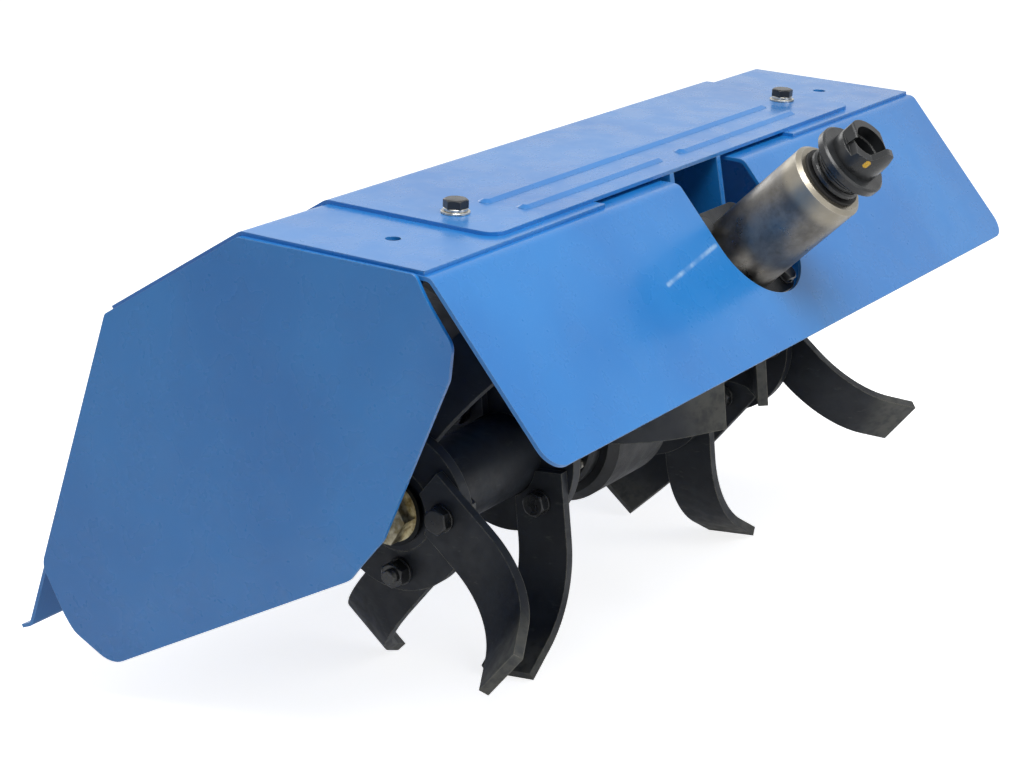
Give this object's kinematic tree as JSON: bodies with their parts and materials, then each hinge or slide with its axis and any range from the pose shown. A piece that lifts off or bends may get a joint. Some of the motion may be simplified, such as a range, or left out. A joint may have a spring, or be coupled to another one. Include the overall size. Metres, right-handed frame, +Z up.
{
  "type": "rotavator",
  "caption": "Rotary tiller attachment: folded sheet-metal hood with side shields and a hinged rear flap over a rotor of bent tines, driven through a sloping hitch tube with a jaw coupling.",
  "frame": {"origin": "on the floor under the middle of the bounding box, with the tiller standing on its tines", "axes": "+X along the rotor to the right as seen from behind, -Y towards the tractor hitch, +Z up"},
  "size_m": [0.76, 0.5668, 0.417],
  "materials": {
    "blue_paint": "gloss blue enamel",
    "black_paint": "black semi-gloss",
    "bare_steel": "bare steel, lightly patinated",
    "dark_iron": "dark painted casting",
    "black_rubber": "matt rubber seal",
    "zinc": "zinc plated"
  },
  "bodies": {
    "hood_frame": {"hood_cover": "blue_paint", "hood_side_left": "blue_paint", "hood_side_right": "blue_paint", "front_guard": "blue_paint", "shield_left": "blue_paint", "shield_right": "blue_paint", "web_left": "blue_paint", "web_right": "blue_paint", "gearbox_housing": "dark_iron", "bearing_cap_left": "dark_iron", "bearing_cap_right": "dark_iron", "input_tube": "bare_steel", "tube_flange": "dark_iron", "tube_seal": "black_rubber", "hinge_knuckles": "blue_paint", "hinge_rod": "bare_steel"},
    "rear_flap": {"rear_flap": "blue_paint", "flap_knuckles": "blue_paint"},
    "rotor": {"rotor_shaft": "bare_steel", "sleeve_left": "black_paint", "sleeve_right": "black_paint", "flange_1": "black_paint", "flange_2": "black_paint", "flange_3": "black_paint", "flange_4": "black_paint", "tines_1": "black_paint", "tines_2": "black_paint", "tines_3": "black_paint", "tines_4": "black_paint", "end_nut_left": "zinc", "end_nut_right": "zinc"},
    "input_drive": {"input_shaft": "dark_iron", "coupling_disk": "dark_iron", "jaw_coupling": "dark_iron"}
  },
  "joints": [
    {"name": "rotor_spin", "type": "hinge", "parent": "hood_frame", "child": "rotor", "pos_m": [0, -0.00003, 0.15632], "axis": [1, 0, 0], "continuous": true},
    {"name": "input_spin", "type": "hinge", "parent": "hood_frame", "child": "input_drive", "pos_m": [0, -0.17348, 0.32484], "axis": [0, -0.7604, 0.6494], "continuous": true},
    {"name": "flap_hinge", "type": "hinge", "parent": "hood_frame", "child": "rear_flap", "pos_m": [0, 0.15186, 0.30875], "axis": [1, 0, 0], "range_deg": [0, 70]}
  ],
  "couplings": [
    {"joint": "input_spin", "follows": "rotor_spin", "ratio": 3.5}
  ]
}
